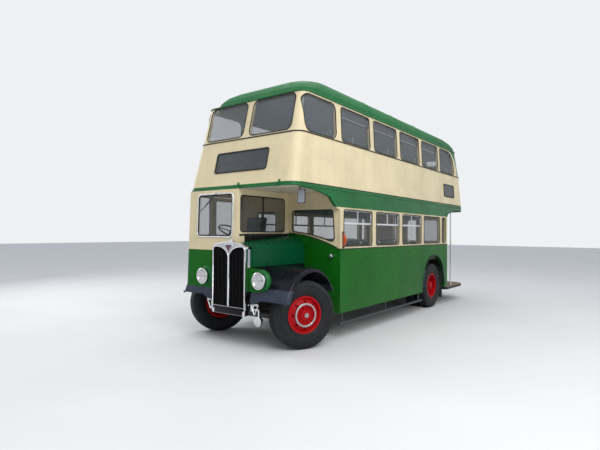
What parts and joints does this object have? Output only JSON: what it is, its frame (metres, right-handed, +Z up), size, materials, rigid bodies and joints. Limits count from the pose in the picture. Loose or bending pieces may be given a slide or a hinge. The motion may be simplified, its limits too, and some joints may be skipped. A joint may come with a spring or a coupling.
{
  "type": "half-cab double decker bus",
  "caption": "Old half-cab double decker bus with an open rear platform, a separate driver cab, a side bonnet and two seated decks.",
  "frame": {"origin": "on the ground, under the centre of the whole bus", "axes": "+X towards the nearside (the bus own left), +Y towards the rear, +Z up"},
  "size_m": [2.5112, 7.925, 4.34],
  "materials": {
    "cream_paint": "gloss",
    "green_paint": "gloss",
    "dark_green_paint": "gloss",
    "black_paint": "gloss",
    "red_paint": "gloss",
    "chassis_paint": "satin",
    "chrome": "polished",
    "cast_iron": "matte",
    "brushed_steel": "satin",
    "tyre_rubber": "matte",
    "window_glass": "clear",
    "floor_wood": "matte",
    "seat_cloth": "woven",
    "seat_leather": "satin",
    "black_plastic": "matte",
    "orange_plastic": "gloss"
  },
  "bodies": {
    "bus": {"upper_front": "cream_paint", "upper_side_nearside": "cream_paint", "upper_side_offside": "cream_paint", "upper_rear": "green_paint", "roof": "green_paint", "lower_side_nearside": "cream_paint", "lower_side_offside": "cream_paint", "lower_rear": "dark_green_paint", "front_bulkhead": "cream_paint", "rear_bulkhead": "cream_paint", "saloon_floor": "floor_wood", "platform": "floor_wood", "upper_floor": "floor_wood", "staircase": "dark_green_paint", "cab_front": "cream_paint", "cab_side_offside": "cream_paint", "cab_partition": "cream_paint", "front_wing_nearside": "black_paint", "front_wing_offside": "black_paint", "front_valance": "dark_green_paint", "radiator_shell": "chrome", "radiator_grille": "black_paint", "chassis_frame": "chassis_paint", "front_axle": "cast_iron", "rear_axle": "cast_iron", "leaf_springs": "chassis_paint", "engine": "cast_iron", "propshaft": "chassis_paint", "fuel_tank": "chassis_paint", "exhaust": "brushed_steel", "seats_lower_nearside": "seat_cloth", "seats_lower_offside": "seat_cloth", "seats_upper_nearside": "seat_cloth", "seats_upper_offside": "seat_cloth", "driver_seat": "seat_leather", "steering_wheel": "black_plastic", "glass_upper": "window_glass", "glass_lower": "window_glass", "glass_cab": "window_glass", "headlamps": "chrome", "small_lamps": "chrome", "lifeguards": "black_paint", "handrails": "chrome", "mirrors": "black_plastic", "ear_indicators": "orange_plastic"},
    "steer_left": {"knuckle_left": "cast_iron"},
    "steer_right": {"knuckle_right": "cast_iron"},
    "track_rod": {"track_rod": "chassis_paint"},
    "front_wheel_left": {"wheel_front_left": "red_paint", "tyre_front_left": "tyre_rubber"},
    "front_wheel_right": {"wheel_front_right": "red_paint", "tyre_front_right": "tyre_rubber"},
    "rear_wheel_left": {"wheel_rear_left": "red_paint", "tyres_rear_left": "tyre_rubber"},
    "rear_wheel_right": {"wheel_rear_right": "red_paint", "tyres_rear_right": "tyre_rubber"},
    "cab_door": {"cab_door": "cream_paint"},
    "bonnet": {"bonnet_lid": "dark_green_paint"},
    "emergency_door": {"emergency_door": "green_paint"}
  },
  "joints": [
    {"name": "steer_left", "type": "hinge", "parent": "bus", "child": "steer_left", "pos_m": [0.84, -3.2755, 0.515], "axis": [0, 0, 1], "range_deg": [-11, 59]},
    {"name": "steer_right", "type": "hinge", "parent": "bus", "child": "steer_right", "pos_m": [-0.84, -3.2755, 0.515], "axis": [0, 0, 1], "range_deg": [-11, 59]},
    {"name": "track_rod", "type": "hinge", "parent": "steer_left", "child": "track_rod", "pos_m": [0.92135, -3.09279, 0.375], "axis": [0, 0, 1], "range_deg": [-59, 11]},
    {"name": "front_wheel_left", "type": "hinge", "parent": "steer_left", "child": "front_wheel_left", "pos_m": [0.95876, -3.32838, 0.515], "axis": [0.9135, -0.4067, 0], "continuous": true},
    {"name": "front_wheel_right", "type": "hinge", "parent": "steer_right", "child": "front_wheel_right", "pos_m": [-0.95876, -3.22262, 0.515], "axis": [0.9135, -0.4067, 0], "continuous": true},
    {"name": "rear_wheel_left", "type": "hinge", "parent": "bus", "child": "rear_wheel_left", "pos_m": [0.819, 1.6775, 0.515], "axis": [1, 0, 0], "continuous": true},
    {"name": "rear_wheel_right", "type": "hinge", "parent": "bus", "child": "rear_wheel_right", "pos_m": [-0.819, 1.6775, 0.515], "axis": [1, 0, 0], "continuous": true},
    {"name": "cab_door", "type": "hinge", "parent": "bus", "child": "cab_door", "pos_m": [-1.143, -2.604, 1.8], "axis": [0, 0, -1], "range_deg": [0, 85]},
    {"name": "bonnet", "type": "hinge", "parent": "bus", "child": "bonnet", "pos_m": [0.07, -3.8465, 1.58], "axis": [0, -0.9959, -0.0909], "range_deg": [0, 60]},
    {"name": "emergency_door", "type": "hinge", "parent": "bus", "child": "emergency_door", "pos_m": [0, 3.62995, 3.856], "axis": [1, 0, 0], "range_deg": [0, 80]}
  ],
  "couplings": [
    {"joint": "steer_right", "follows": "steer_left", "ratio": 1},
    {"joint": "track_rod", "follows": "steer_left", "ratio": -1}
  ]
}
